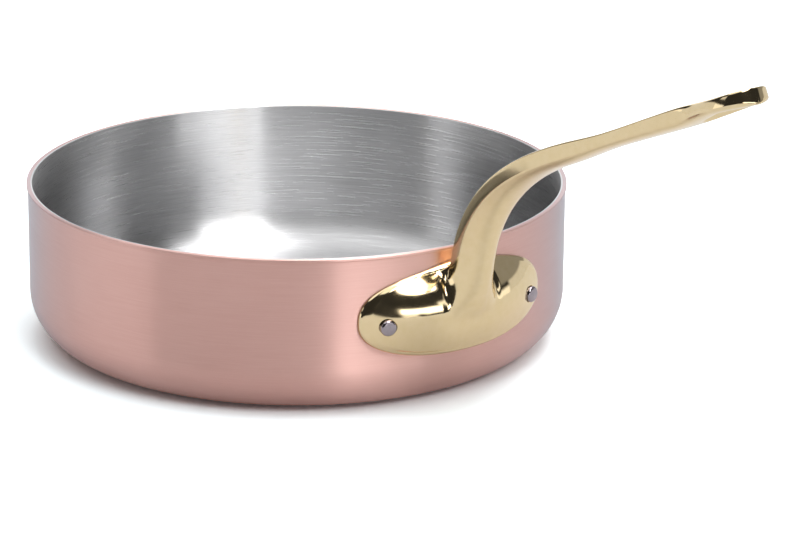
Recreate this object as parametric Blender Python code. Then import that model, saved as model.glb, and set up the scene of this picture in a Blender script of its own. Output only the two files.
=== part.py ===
"""Saute pan: a copper body lined with steel, and one cast brass handle held by two rivets.

Run it with blender --background --python part.py, or from the text editor. Metres and degrees, +Z up.
The origin is on the pan's axis at the underside of its base, and the handle points along +X.
"""

import math

import bmesh
import bpy
from mathutils import Matrix, Vector

# Pan body: a copper shell, drawn in one piece with a steel lining
RIM_DIAMETER = 0.240            # across the lip at the top of the wall
PAN_HEIGHT = 0.071
CORNER_RADIUS = 0.0225          # outside, from the base into the wall
LIP_PROUD = 0.0005              # how far the trimmed lip stands out from the wall
LIP_HEIGHT = 0.0014
COPPER_THICKNESS = 0.0013
LINING_THICKNESS = 0.0004
CLEARANCE = 0.0003              # between any two pieces that touch on the real pan

# Flange of the handle: a boat shape that hugs the wall, measured along the wall
FLANGE_LENGTH = 0.0975
FLANGE_BELOW_RIM = 0.0292       # down to the level of its two ends
FLANGE_DEPTH_BELOW = 0.0176     # from that level to its lower edge
FLANGE_DEPTH_ABOVE = 0.0203     # from that level to its upper edge
FLANGE_FULLNESS_BELOW = 2.35    # exponent of its outline: 2 is an ellipse, more is squarer
FLANGE_FULLNESS_ABOVE = 2.5
FLANGE_PEAK = 0.0035            # how much the upper edge rises where it runs into the neck
FLANGE_PEAK_WIDTH = 0.0170
FLANGE_EDGE = 0.0032            # thickness of the plate at its lower edge
FLANGE_TOP_EDGE = 0.0012        # at its upper edge
FLANGE_END_EDGE = 0.0029        # and at its two ends
TOP_EDGE_CURVE = 6.0            # exponent with which the upper edge thickens to the ends
FLANGE_EDGE_RADIUS = 0.0024
FLANGE_CROWN = 8.0              # angle at which the face rises from its lower edge
FLANGE_TOP_CROWN = 30.0         # and from its upper edge
RIDGE_LEVEL = 0.0030            # of the ridge along the face, above the level of its ends
RIDGE_END_CURVE = 4.0           # exponent with which it comes down to that level there
RIDGE_RISE = 0.0069             # how much further than the ends it stands off the wall
RIDGE_FULLNESS = 1.9            # exponents of its course: it sinks late, and then fast
RIDGE_FALL = 1.3
ROLL_BACK = 0.45                # share of the fall to the upper edge that is straight
ROLL_CURVE = 2.2                # exponent of the rest
UNDER_CURVE = 1.8               # exponent of the fall to the lower edge
WING_NEAR = 0.0095              # from the handle's middle to where the neck's fillet ends
WING_FAR = 0.0150
NECK_FOOT = 0.0090              # how far the neck's front reaches down past the ridge
FACE_PULL = 0.45                # share of the way to the neck over which that angle is felt
FACE_LEVELLING = 0.6            # how much the face heads for its middle level, not for the neck

# Neck: it leaves the top of the flange, passes the rim and bends out into the grip
NECK_WIDTH = 0.0190
NECK_DEPTH = 0.0135
NECK_GAP = 0.0042               # between the back of the neck and the wall
NECK_BELOW_RIM = 0.0050         # down to the neck's root
NECK_LEAN = 80.0                # angle of the root above level
NECK_REACH = 0.0300             # how far the root's direction is felt in the bend
BEND_REACH = 0.0330             # how far the grip's direction is felt in the bend
TOP_SQUARENESS = 7.0            # the top of the handle is flat, with close corners
UNDER_SQUARENESS = 2.5          # its underside is rounder
NECK_SQUARENESS = 1.9           # and the front of the neck is rounder still
NECK_SHARE = 0.92               # share of the neck's depth that lies before its widest line
GRIP_SHARE = 0.38               # share of the grip's depth that lies below its widest line

# Grip: straight and slim, flared at the tip round the hanging hole
GRIP_OUT = 0.0665               # from the wall to where the grip becomes straight
GRIP_UP = 0.0551                # from the rim up to there
GRIP_SLOPE = 24.1
GRIP_LENGTH = 0.1088            # from there to the centre of the round tip
GRIP_WIDTH = 0.0160             # where it begins
GRIP_DEPTH = 0.0092
SLIM_PLACE = 0.0350             # along the grip to its slimmest place
SLIM_WIDTH = 0.0150
SLIM_DEPTH = 0.0069
FLARE_LENGTH = 0.0270
FLARE_WIDTH = 0.0175            # where the flare begins
FLARE_DEPTH = 0.0082
TIP_RADIUS = 0.0122
TIP_DEPTH = 0.0066
TIP_EDGE_RADIUS = 0.0005
TIP_DRAFT = 27.0                # angle at which the flare's sides lean in towards the top
DRAFT_START = 0.0012            # height over which that lean begins
DRAFT_LENGTH = 0.0110           # length over which the sides start to lean
DRAFT_END = 60.0                # angle round the tip at which they stand upright again
HOLE_RADIUS = 0.0070            # round end of the hanging hole, near the tip
HOLE_NARROW_RADIUS = 0.0030
HOLE_LENGTH = 0.0140            # between the centres of its two ends
HOLE_FROM_TIP = 0.0133          # from the tip's end to the centre of the round end

# Rivets: through the flange, the copper and the lining
RIVET_FROM_END = 0.01165        # from the flange's end, measured along the wall
RIVET_BELOW_MIDDLE = 0.0006     # below the level of the flange's ends
RIVET_SHANK = 0.0056
RIVET_HEAD = 0.0071
RIVET_HEAD_HEIGHT = 0.0027
RIVET_HEAD_EDGE = 0.0013        # radius of its rounded edge
RIVET_SEAT_RISE = 0.0013        # how much higher its flat seat lies than the flange's end
INNER_HEAD = 0.0110
INNER_HEAD_HEIGHT = 0.0017

# Fineness of the round shapes
PAN_SEGMENTS = 72
CORNER_STEPS = 7
RIVET_SEGMENTS = 20
HEAD_STEPS = 4
HANDLE_POINTS = 40
EDGE_STEPS = 3
BLEND_STEPS = 9
BEND_STEPS = 9
BEND_LOOK_AHEAD = 0.001         # share of the bend over which its direction is found
GRIP_STEPS = 9
TIP_ANGLES = (0, 20, 38, 54, 66, 76, 85)
HOLE_STEPS = 10

# Worked out from the sizes above
WALL_RADIUS = RIM_DIAMETER / 2 - LIP_PROUD
LINING_OUTSIDE = WALL_RADIUS - COPPER_THICKNESS - CLEARANCE
LINING_INSIDE = LINING_OUTSIDE - LINING_THICKNESS
FLANGE_LEVEL = PAN_HEIGHT - FLANGE_BELOW_RIM
RIVET_SEAT = WALL_RADIUS + FLANGE_END_EDGE + RIVET_SEAT_RISE
RIVET_ALONG = FLANGE_LENGTH / 2 - RIVET_FROM_END
FLAT_OF_FACET = math.cos(math.pi / PAN_SEGMENTS)

COLOURS = {
    "copper": ((0.66, 0.34, 0.27, 1.0), 1.0, 0.32),
    "steel": ((0.56, 0.56, 0.57, 1.0), 1.0, 0.30),
    "brass": ((0.74, 0.57, 0.30, 1.0), 1.0, 0.12),
    "rivet_steel": ((0.42, 0.40, 0.41, 1.0), 1.0, 0.22),
}


def material(name):
    """A Principled material with the colour, metallic value and roughness of one metal."""
    colour, metallic, roughness = COLOURS[name]
    made = bpy.data.materials.new(name)
    made.use_nodes = True
    made.diffuse_color = colour
    shader = made.node_tree.nodes["Principled BSDF"]
    shader.inputs["Base Color"].default_value = colour
    shader.inputs["Metallic"].default_value = metallic
    shader.inputs["Roughness"].default_value = roughness
    return made


def add_object(name, mesh_builder, finish=None, smooth_angle=30.0):
    """Put a bmesh in the scene as an object, smooth but for its real corners."""
    bmesh.ops.recalc_face_normals(mesh_builder, faces=mesh_builder.faces)
    mesh = bpy.data.meshes.new(name)
    mesh_builder.to_mesh(mesh)
    mesh_builder.free()
    mesh.shade_smooth()
    mesh.set_sharp_from_angle(angle=math.radians(smooth_angle))
    made = bpy.data.objects.new(name, mesh)
    bpy.context.scene.collection.objects.link(made)
    if finish:
        mesh.materials.append(finish)
    return made


def as_cutter(made):
    """Mark an object as a tool for cutting, which isn't part of the pan."""
    made.hide_render = True
    made.display_type = "WIRE"
    return made


def cut(target, *cutters):
    """Take each cutter out of the target with a Boolean modifier."""
    for cutter in cutters:
        modifier = target.modifiers.new("cut_" + cutter.name, "BOOLEAN")
        modifier.operation = "DIFFERENCE"
        modifier.solver = "EXACT"
        modifier.object = cutter


def turned(profile, segments):
    """Spin a closed (radius, height) profile round the Z axis."""
    made = bmesh.new()
    points = [made.verts.new((radius, 0.0, height)) for radius, height in profile]
    edges = [made.edges.new(pair) for pair in zip(points, points[1:])]
    bmesh.ops.spin(made, geom=points + edges, cent=(0, 0, 0), axis=(0, 0, 1),
                   angle=math.tau, steps=segments, use_merge=True)
    bmesh.ops.remove_doubles(made, verts=made.verts, dist=1e-6)
    return made


def arc(centre, radius, start, end, steps):
    """Points on an arc in the (radius, height) plane, from one angle to another in degrees."""
    angles = [math.radians(start + (end - start) * step / steps) for step in range(steps + 1)]
    return [(centre[0] + radius * math.cos(angle), centre[1] + radius * math.sin(angle))
            for angle in angles]


def dish(outside, floor, corner, top):
    """One side of a dish from the centre of its floor, round the corner and up its wall."""
    return [(0.0, floor)] + arc((outside - corner, floor + corner), corner, -90, 0,
                                CORNER_STEPS) + [(outside, top)]


def build_copper_shell():
    """The copper outside of the pan, with its base, its round corner, its wall and its lip."""
    lip_bottom = PAN_HEIGHT - LIP_HEIGHT
    outside = dish(WALL_RADIUS, 0.0, CORNER_RADIUS, lip_bottom)
    lip = [(WALL_RADIUS + LIP_PROUD, lip_bottom + LIP_PROUD), (WALL_RADIUS + LIP_PROUD, PAN_HEIGHT)]
    inside = dish(WALL_RADIUS - COPPER_THICKNESS, COPPER_THICKNESS,
                  CORNER_RADIUS - COPPER_THICKNESS, PAN_HEIGHT)
    profile = outside + lip + inside[::-1]
    return add_object("copper_shell", turned(profile, PAN_SEGMENTS), material("copper"))


def build_steel_lining():
    """The thin steel inside of the pan, which follows the copper at a small distance."""
    floor = COPPER_THICKNESS + CLEARANCE
    corner = CORNER_RADIUS - COPPER_THICKNESS - CLEARANCE
    outside = dish(LINING_OUTSIDE, floor, corner, PAN_HEIGHT)
    inside = dish(LINING_INSIDE, floor + LINING_THICKNESS, corner - LINING_THICKNESS, PAN_HEIGHT)
    return add_object("steel_lining", turned(outside + inside[::-1], PAN_SEGMENTS),
                      material("steel"))


def squared_circle(angle, fullness):
    """Where an angle in radians lands on a circle of radius 1 that is squared off by fullness."""
    across, up = math.cos(angle), math.sin(angle)
    return (math.copysign(abs(across) ** (2 / fullness), across),
            math.copysign(abs(up) ** (2 / fullness), up))


def smooth_step(value):
    """Rise gently from 0 to 1 as value goes from 0 to 1."""
    value = min(max(value, 0.0), 1.0)
    return value * value * (3 - 2 * value)


def bezier(start, leave, arrive, end, share):
    """A point on a cubic curve, for numbers or vectors."""
    rest = 1 - share
    return (start * rest ** 3 + leave * (3 * rest * rest * share)
            + arrive * (3 * rest * share * share) + end * share ** 3)


def on_wall(off, along, height):
    """A point by its distance off the wall, its distance along it from the handle's middle and
    its height."""
    angle = along / WALL_RADIUS
    radius = WALL_RADIUS + off
    return Vector((radius * math.cos(angle), radius * math.sin(angle), height))


def direction(slope):
    """The unit vector in the handle's plane that rises by slope degrees from level."""
    return Vector((math.cos(math.radians(slope)), 0.0, math.sin(math.radians(slope))))


def neck_root():
    """The centre of the neck where it leaves the flange."""
    return Vector((WALL_RADIUS + NECK_GAP + NECK_DEPTH / 2, 0.0, PAN_HEIGHT - NECK_BELOW_RIM))


def grip_start():
    """The centre of the grip where the bend ends."""
    return Vector((WALL_RADIUS + GRIP_OUT, 0.0, PAN_HEIGHT + GRIP_UP))


def cross_section(centre, slope, width, depth, formed=1.0, draft=0.0):
    """A ring of points square to the handle's line: depth in its plane and width across it.
    Formed is how far it has the grip's form, from 0 at the neck to 1. Draft is the angle at which
    its sides lean in towards the top."""
    back = direction(slope + 90)
    below = depth * (NECK_SHARE + (GRIP_SHARE - NECK_SHARE) * formed)
    under = NECK_SQUARENESS + (UNDER_SQUARENESS - NECK_SQUARENESS) * formed
    lean = math.tan(math.radians(draft))
    ring = []
    for step in range(HANDLE_POINTS):
        angle = math.tau * step / HANDLE_POINTS
        top = math.sin(angle) > 0
        across, up = squared_circle(angle, TOP_SQUARENESS if top else under)
        rise = up * (depth - below if top else below)
        above = max(rise, 0.0)
        half = width / 2 - lean * above ** 2 / (above + DRAFT_START)
        ring.append(centre + back * (rise + below - depth / 2) + Vector((0.0, across * half, 0.0)))
    return ring


def under_neck(along, up):
    """How much of a point of the flange's outline lies under the neck, from 0 to 1."""
    return math.exp(-(along / FLANGE_PEAK_WIDTH) ** 2) if up > 0 else 0.0


def edge_thickness(across, above):
    """The flange's thickness at its edge. Across runs from 0 at its middle to 1 at its end."""
    if above:
        return FLANGE_TOP_EDGE + (FLANGE_END_EDGE
                                  - FLANGE_TOP_EDGE) * abs(across) ** TOP_EDGE_CURVE
    return FLANGE_EDGE + (FLANGE_END_EDGE - FLANGE_EDGE) * across ** 2


def face_off_wall(along, height):
    """How far off the wall the flange's face stands, away from the neck: it has a ridge that
    runs level from end to end, and rolls back from there to its thin upper edge."""
    across = min(abs(along) / (FLANGE_LENGTH / 2), 1.0)
    ridge = FLANGE_END_EDGE + RIDGE_RISE * (1 - across ** RIDGE_FULLNESS) ** RIDGE_FALL
    level = RIDGE_LEVEL * (1 - across ** RIDGE_END_CURVE)
    above = height > level
    fullness = FLANGE_FULLNESS_ABOVE if above else FLANGE_FULLNESS_BELOW
    reach = (1 - across ** fullness) ** (1 / fullness)
    if above:
        to_edge = max(FLANGE_DEPTH_ABOVE * reach - level, CLEARANCE)
        share = min((height - level) / to_edge, 1.0)
        fall = ROLL_BACK * share + (1 - ROLL_BACK) * share ** ROLL_CURVE
    else:
        to_edge = max(FLANGE_DEPTH_BELOW * reach + level, CLEARANCE)
        fall = min((level - height) / to_edge, 1.0) ** UNDER_CURVE
    return ridge + (edge_thickness(across, above) - ridge) * fall


def flange_edge_ring(share):
    """One ring of the flange's rounded edge, as (distance off the wall, distance along it,
    height). Share is 0 where the edge leaves the wall and 1 where it meets the face."""
    ring = []
    for step in range(HANDLE_POINTS):
        angle = math.tau * step / HANDLE_POINTS
        above = math.sin(angle) > 0
        across, up = squared_circle(angle, FLANGE_FULLNESS_ABOVE if above
                                    else FLANGE_FULLNESS_BELOW)
        hidden = under_neck(across * FLANGE_LENGTH / 2, up)
        crown = FLANGE_CROWN + (FLANGE_TOP_CROWN - FLANGE_CROWN) * smooth_step(up)
        turn = math.radians((90 - crown) * share)
        edge = edge_thickness(across, above)
        edge += (NECK_GAP - edge) * hidden ** 2
        radius = min(FLANGE_EDGE_RADIUS, edge)
        inset = radius * (1 - math.cos(turn))
        depth = FLANGE_DEPTH_ABOVE if above else FLANGE_DEPTH_BELOW
        ring.append(Vector((edge - radius + radius * math.sin(turn),
                            across * (FLANGE_LENGTH / 2 - inset),
                            FLANGE_LEVEL + up * (depth - inset) + FLANGE_PEAK * hidden)))
    return ring


def flange_rings():
    """Rings from inside the wall, over the flange's rounded edge and up its face to the neck."""
    rings = [[on_wall(-2 * COPPER_THICKNESS, point.y, point.z) for point in flange_edge_ring(0)]]
    for step in range(EDGE_STEPS + 1):
        rings.append([on_wall(*point) for point in flange_edge_ring(step / EDGE_STEPS)])
    face = flange_edge_ring(1.0)
    wall = Vector((WALL_RADIUS, 0.0, 0.0))
    root = cross_section(neck_root(), NECK_LEAN, NECK_WIDTH, NECK_DEPTH, 0.0)
    rise = math.tan(math.radians(FLANGE_CROWN))
    for step in range(1, BLEND_STEPS):
        share = step / BLEND_STEPS
        ring = []
        for start, end in zip(face, root):
            end = end - wall
            reach = (end - start).length * FACE_PULL
            inward = Vector((0.0, end.y - start.y, (FLANGE_LEVEL - start.z) * FACE_LEVELLING))
            inward /= max(inward.length, reach)
            inward.x = rise
            hidden = under_neck(start.y, start.z - FLANGE_LEVEL) ** 2
            leave = (start + inward * reach).lerp(start.lerp(end, 1 / 3), hidden)
            arrive = (end - direction(NECK_LEAN) * reach).lerp(start.lerp(end, 2 / 3), hidden)
            point = bezier(start, leave, arrive, end, share)
            height = point.z - FLANGE_LEVEL
            wing = max(smooth_step((abs(point.y) - WING_NEAR) / (WING_FAR - WING_NEAR)),
                       smooth_step((RIDGE_LEVEL - height) / NECK_FOOT))
            point.x += (face_off_wall(point.y, height) - point.x) * wing * (1 - hidden)
            ring.append(on_wall(*point).lerp(point + wall, smooth_step(share)))
        rings.append(ring)
    return rings


def bend_rings():
    """Rings from the neck's root through the bend to the straight grip."""
    start, end = neck_root(), grip_start()
    leave = start + direction(NECK_LEAN) * NECK_REACH
    arrive = end - direction(GRIP_SLOPE) * BEND_REACH
    rings = []
    for step in range(BEND_STEPS):
        share = step / BEND_STEPS
        centre = bezier(start, leave, arrive, end, share)
        ahead = bezier(start, leave, arrive, end, share + BEND_LOOK_AHEAD)
        slope = math.degrees(math.atan2(ahead.z - centre.z, ahead.x - centre.x))
        width = bezier(NECK_WIDTH, NECK_WIDTH, GRIP_WIDTH, GRIP_WIDTH, share)
        depth = bezier(NECK_DEPTH, NECK_DEPTH, GRIP_DEPTH, GRIP_DEPTH, share)
        rings.append(cross_section(centre, slope, width, depth, smooth_step(share)))
    return rings


def grip_size(along):
    """Width and depth of the grip at a distance from its start: slim, then flared."""
    stations = [(0.0, GRIP_WIDTH, GRIP_DEPTH), (SLIM_PLACE, SLIM_WIDTH, SLIM_DEPTH),
                (GRIP_LENGTH - FLARE_LENGTH, FLARE_WIDTH, FLARE_DEPTH),
                (GRIP_LENGTH, 2 * TIP_RADIUS, TIP_DEPTH)]
    for near, far in zip(stations, stations[1:]):
        if along <= far[0]:
            break
    share = smooth_step((along - near[0]) / (far[0] - near[0]))
    return near[1] + (far[1] - near[1]) * share, near[2] + (far[2] - near[2]) * share


def side_draft(along):
    """The angle at which the grip's sides lean in, at a distance from its start."""
    return TIP_DRAFT * smooth_step((along - GRIP_LENGTH + FLARE_LENGTH) / DRAFT_LENGTH)


def grip_rings():
    """Rings along the straight grip, out through the flare and round the tip."""
    start, ahead = grip_start(), direction(GRIP_SLOPE)
    rings = []
    for step in range(GRIP_STEPS):
        along = GRIP_LENGTH * step / GRIP_STEPS
        rings.append(cross_section(start + ahead * along, GRIP_SLOPE, *grip_size(along), 1.0,
                                   side_draft(along)))
    for angle in TIP_ANGLES:
        turn = math.radians(angle)
        along = GRIP_LENGTH + TIP_RADIUS * math.sin(turn)
        to_end = min(TIP_RADIUS * (1 - math.sin(turn)), TIP_EDGE_RADIUS)
        thinning = TIP_EDGE_RADIUS - math.sqrt(
            TIP_EDGE_RADIUS ** 2 - (TIP_EDGE_RADIUS - to_end) ** 2)
        rings.append(cross_section(start + ahead * along, GRIP_SLOPE,
                                   2 * TIP_RADIUS * math.cos(turn), TIP_DEPTH - 2 * thinning,
                                   1.0, TIP_DRAFT * (1 - smooth_step(angle / DRAFT_END))))
    return rings


def lofted(rings):
    """A closed skin over rings of equally many points, with a cap at both ends."""
    made = bmesh.new()
    loops = [[made.verts.new(point) for point in ring] for ring in rings]
    for near, far in zip(loops, loops[1:]):
        for step in range(len(near)):
            following = (step + 1) % len(near)
            made.faces.new((near[step], near[following], far[following], far[step]))
    for loop in (loops[0], loops[-1]):
        centre = made.verts.new(sum((point.co for point in loop), Vector()) / len(loop))
        for step in range(len(loop)):
            made.faces.new((loop[step], loop[(step + 1) % len(loop)], centre))
    return made


def wall_cutter():
    """The pan's outside grown by the clearance, which shapes the back of the flange."""
    lip_bottom = PAN_HEIGHT - LIP_HEIGHT
    radius = WALL_RADIUS + CLEARANCE
    profile = [(0.0, 0.0), (radius, 0.0), (radius, lip_bottom - CLEARANCE),
               (radius + LIP_PROUD, lip_bottom + LIP_PROUD - CLEARANCE),
               (radius + LIP_PROUD, PAN_HEIGHT + CLEARANCE), (0.0, PAN_HEIGHT + CLEARANCE)]
    return as_cutter(add_object("wall_cutter", turned(profile, PAN_SEGMENTS)))


def hole_cutter():
    """The hanging hole: two round ends of unlike size and the straight sides between them."""
    lean = math.degrees(math.asin((HOLE_RADIUS - HOLE_NARROW_RADIUS) / HOLE_LENGTH))
    outline = (arc((0.0, 0.0), HOLE_RADIUS, -90 - lean, 90 + lean, HOLE_STEPS)
               + arc((-HOLE_LENGTH, 0.0), HOLE_NARROW_RADIUS, 90 + lean, 270 - lean, HOLE_STEPS))
    made = bmesh.new()
    face = made.faces.new([made.verts.new((x, y, -GRIP_DEPTH)) for x, y in outline])
    grown = bmesh.ops.extrude_face_region(made, geom=[face])
    raised = [item for item in grown["geom"] if isinstance(item, bmesh.types.BMVert)]
    bmesh.ops.translate(made, vec=(0.0, 0.0, 2 * GRIP_DEPTH), verts=raised)
    cutter = as_cutter(add_object("hole_cutter", made))
    along = GRIP_LENGTH + TIP_RADIUS - HOLE_FROM_TIP
    cutter.location = grip_start() + direction(GRIP_SLOPE) * along
    cutter.rotation_euler = (0.0, -math.radians(GRIP_SLOPE), 0.0)
    return cutter


def rivet_frame(side):
    """The place and turn of a rivet: its local Z axis points out of the pan. Side is -1 or 1."""
    angle = side * RIVET_ALONG / WALL_RADIUS
    height = FLANGE_LEVEL - RIVET_BELOW_MIDDLE
    return (Matrix.Translation((0.0, 0.0, height)) @ Matrix.Rotation(angle, 4, "Z")
            @ Matrix.Rotation(math.pi / 2, 4, "Y"))


def rivet_cutter(name, side):
    """The bore for one rivet and, outside, the flat seat for its head."""
    bore = RIVET_SHANK / 2 + CLEARANCE
    seat = RIVET_HEAD / 2 + CLEARANCE
    end = RIVET_SEAT + 2 * NECK_DEPTH
    start = LINING_INSIDE - INNER_HEAD
    profile = [(0.0, start), (bore, start), (bore, RIVET_SEAT), (seat, RIVET_SEAT), (seat, end),
               (0.0, end)]
    cutter = as_cutter(add_object(name, turned(profile, RIVET_SEGMENTS)))
    cutter.matrix_world = rivet_frame(side)
    return cutter


def build_rivet(name, side):
    """A rivet: a low wide head inside the pan, the shank and a round button head outside."""
    inner = INNER_HEAD / 2
    wall = LINING_INSIDE * FLAT_OF_FACET
    under_inner = math.sqrt(wall ** 2 - inner ** 2) - CLEARANCE
    under_outer = RIVET_SEAT + CLEARANCE
    shank, head = RIVET_SHANK / 2, RIVET_HEAD / 2
    top = under_outer + RIVET_HEAD_HEIGHT
    dome = (inner ** 2 + INNER_HEAD_HEIGHT ** 2) / (2 * INNER_HEAD_HEIGHT)
    profile = arc((0.0, under_inner - INNER_HEAD_HEIGHT + dome), dome, -90,
                  math.degrees(math.asin(inner / dome)) - 90, HEAD_STEPS)
    profile += [(shank, under_inner), (shank, under_outer), (head, under_outer)]
    profile += arc((head - RIVET_HEAD_EDGE, top - RIVET_HEAD_EDGE), RIVET_HEAD_EDGE, 0, 80,
                   HEAD_STEPS) + [(0.0, top)]
    made = add_object(name, turned(profile, RIVET_SEGMENTS), material("rivet_steel"))
    made.matrix_world = rivet_frame(side)
    return made


def main():
    """Build the pan."""
    for left_over in list(bpy.data.objects):
        bpy.data.objects.remove(left_over, do_unlink=True)
    shell = build_copper_shell()
    lining = build_steel_lining()
    handle = add_object("handle", lofted(flange_rings() + bend_rings() + grip_rings()),
                        material("brass"))
    bores = [rivet_cutter("bore_left", -1), rivet_cutter("bore_right", 1)]
    cut(handle, wall_cutter(), hole_cutter(), *bores)
    cut(shell, *bores)
    cut(lining, *bores)
    build_rivet("rivet_left", -1)
    build_rivet("rivet_right", 1)


if __name__ == "__main__":
    main()
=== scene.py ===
"""Saute pan: a satin copper body lined with brushed steel, and a polished cast handle.

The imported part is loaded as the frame, and each of its nodes gets a finer piece with a full
finish. Sizes are in metres and angles in degrees. +Z is up, the pan turns about the Z axis and
the handle points along +X.
"""

import logging
import math
from abc import ABC, abstractmethod
from dataclasses import dataclass
from enum import Enum
from typing import Any

import bpy
from bpy.types import Material, Node, NodeSocket, NodeTree, Object
from mathutils import Matrix, Vector


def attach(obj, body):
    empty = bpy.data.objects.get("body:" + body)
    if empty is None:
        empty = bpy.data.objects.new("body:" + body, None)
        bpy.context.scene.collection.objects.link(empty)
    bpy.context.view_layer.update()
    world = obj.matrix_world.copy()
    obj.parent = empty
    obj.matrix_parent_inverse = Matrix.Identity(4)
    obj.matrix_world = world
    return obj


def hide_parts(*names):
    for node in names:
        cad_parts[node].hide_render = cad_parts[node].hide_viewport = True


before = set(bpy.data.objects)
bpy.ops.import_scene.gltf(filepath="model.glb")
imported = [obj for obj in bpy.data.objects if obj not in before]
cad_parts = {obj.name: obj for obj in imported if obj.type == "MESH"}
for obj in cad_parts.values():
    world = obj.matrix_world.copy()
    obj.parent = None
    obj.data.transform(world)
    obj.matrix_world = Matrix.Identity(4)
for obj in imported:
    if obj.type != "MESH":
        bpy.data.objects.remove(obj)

LOG = logging.getLogger("saute_pan")
BODY = "root"
MILLIMETRE = 0.001
# The angle between two faces from which their shared edge stays sharp
SHARP_ANGLE = math.radians(30)
# A noise texture's values lie between these two, but for a few
NOISE_LOW, NOISE_HIGH = 0.3, 0.7
# The least length that something is divided by
LEAST = 1e-5
Profile = list[tuple[float, float]]
Ring = list[Vector]


class RivetSide(Enum):
    """The two ends of the handle's flange; the value is the sign of Y there."""

    LEFT = -1
    RIGHT = 1


# Colour and nodes


def linear(hex_text: str) -> tuple[float, float, float, float]:
    """Turn an sRGB hex colour into the linear colour that a shader takes.

    Args:
        hex_text: A colour such as "#C08A70".

    Returns:
        Red, green, blue and an alpha of 1.
    """
    channels = []
    for start in (1, 3, 5):
        value = int(hex_text[start:start + 2], 16) / 255
        channels.append(value / 12.92 if value <= 0.04045 else ((value + 0.055) / 1.055) ** 2.4)
    return (*channels, 1.0)


def add_node(tree: NodeTree, kind: str, settings: dict[str | int, Any] | None = None,
             **links: Any) -> Node:
    """Add a node with its settings and links.

    Args:
        tree: The node tree to add to.
        kind: The node's type, without "ShaderNode" in front.
        settings: Attributes of the node by name, and values of its inputs by number or by label.
        links: What to join to its inputs, by the input's label in lower case with underscores,
            or by "in" and the input's number: an output socket, or a node for its first one.

    Returns:
        The new node.
    """
    node = tree.nodes.new("ShaderNode" + kind)
    for name, value in (settings or {}).items():
        if isinstance(name, str) and hasattr(node, name):
            setattr(node, name, value)
        else:
            node.inputs[name].default_value = value
    labels = {socket.name.lower().replace(" ", "_"): socket for socket in node.inputs}
    for name, source in links.items():
        target = node.inputs[int(name[2:])] if name[2:].isdigit() else labels[name]
        tree.links.new(source.outputs[0] if isinstance(source, Node) else source, target)
    return node


# Finishes


class Finish(ABC):
    """What a metal surface is made of and how it was worked."""

    name: str

    @abstractmethod
    def work(self, tree: NodeTree, shader: Node, place: NodeSocket) -> None:
        """Give the bare metal its colour, its roughness and its relief.

        Args:
            tree: The material's node tree.
            shader: The bare metal's shader.
            place: The point on the object, in metres.
        """

    def material(self) -> Material:
        """Build the finish as a material.

        Returns:
            The material.
        """
        made = bpy.data.materials.new(self.name)
        made.use_nodes = True
        tree = made.node_tree
        shader = tree.nodes["Principled BSDF"]
        shader.inputs["Metallic"].default_value = 1.0
        self.work(tree, shader, add_node(tree, "TexCoord").outputs["Object"])
        return made


@dataclass(frozen=True)
class BrushedMetal(Finish):
    """Sheet metal brushed on a lathe, so that its fine lines run round the pan's axis.

    The lines spread each reflection across themselves, up and down the wall. They are a noise
    that is stretched round the axis and squeezed up the wall and across the floor.
    """

    name: str
    colour: str
    worn_colour: str
    roughness: float
    roughness_change: float
    line_mm: float
    line_depth_mm: float
    line_contrast: float
    line_stretch: float = 50.0
    line_detail: float = 3.0
    line_fineness: float = 0.65
    cloud_mm: float = 60.0
    cloud_detail: float = 2.0
    wear_starts: float = 0.12
    wear_full: float = 0.40
    shine_stretch: float = 1.0
    shine_turn: float = 0.25
    edge_colour: str = "#FFFFFF"

    def work(self, tree: NodeTree, shader: Node, place: NodeSocket) -> None:
        """Give the sheet its lines, its faint clouds and its stretched shine.

        Args:
            tree: The material's node tree.
            shader: The bare metal's shader.
            place: The point on the object, in metres.
        """
        shader.inputs["Specular Tint"].default_value = linear(self.edge_colour)
        shader.inputs["Anisotropic"].default_value = self.shine_stretch
        shader.inputs["Anisotropic Rotation"].default_value = self.shine_turn
        axes = add_node(tree, "SeparateXYZ", vector=place).outputs
        flat = add_node(tree, "CombineXYZ", in0=axes[0], in1=axes[1])
        reach = add_node(tree, "VectorMath", {"operation": "LENGTH"}, in0=flat).outputs["Value"]
        across = add_node(tree, "Math", {"operation": "ADD"}, in0=reach, in1=axes[2])
        squeezed = add_node(tree, "Math", {"operation": "MULTIPLY", 1: self.line_stretch},
                            in0=across)
        grain = add_node(tree, "CombineXYZ", in0=axes[0], in1=axes[1], in2=squeezed)
        lines = add_node(tree, "TexNoise", {
            "Scale": 1 / (self.line_stretch * self.line_mm * MILLIMETRE),
            "Detail": self.line_detail, "Roughness": self.line_fineness}, vector=grain)
        clouds = add_node(tree, "TexNoise", {
            "Scale": 1 / (self.cloud_mm * MILLIMETRE), "Detail": self.cloud_detail},
            vector=place)
        roughness = add_node(tree, "MapRange", {
            1: NOISE_LOW, 2: NOISE_HIGH, 3: self.roughness - self.roughness_change,
            4: self.roughness + self.roughness_change}, in0=lines).outputs[0]
        wear = add_node(tree, "Math", {"operation": "MULTIPLY"}, in0=lines, in1=clouds)
        share = add_node(tree, "MapRange", {
            1: self.wear_starts, 2: self.wear_full, 3: 0.0, 4: self.line_contrast}, in0=wear)
        colour = add_node(tree, "Mix", {
            "data_type": "RGBA", 6: linear(self.colour), 7: linear(self.worn_colour)},
            in0=share).outputs[2]
        relief = add_node(tree, "Bump", {"Distance": self.line_depth_mm * MILLIMETRE},
                          height=lines).outputs[0]
        round_axis = add_node(tree, "Tangent", {
            "direction_type": "RADIAL", "axis": "Z"}).outputs[0]
        for label, source in (("Roughness", roughness), ("Base Color", colour),
                              ("Normal", relief), ("Tangent", round_axis)):
            tree.links.new(source, shader.inputs[label])


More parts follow.
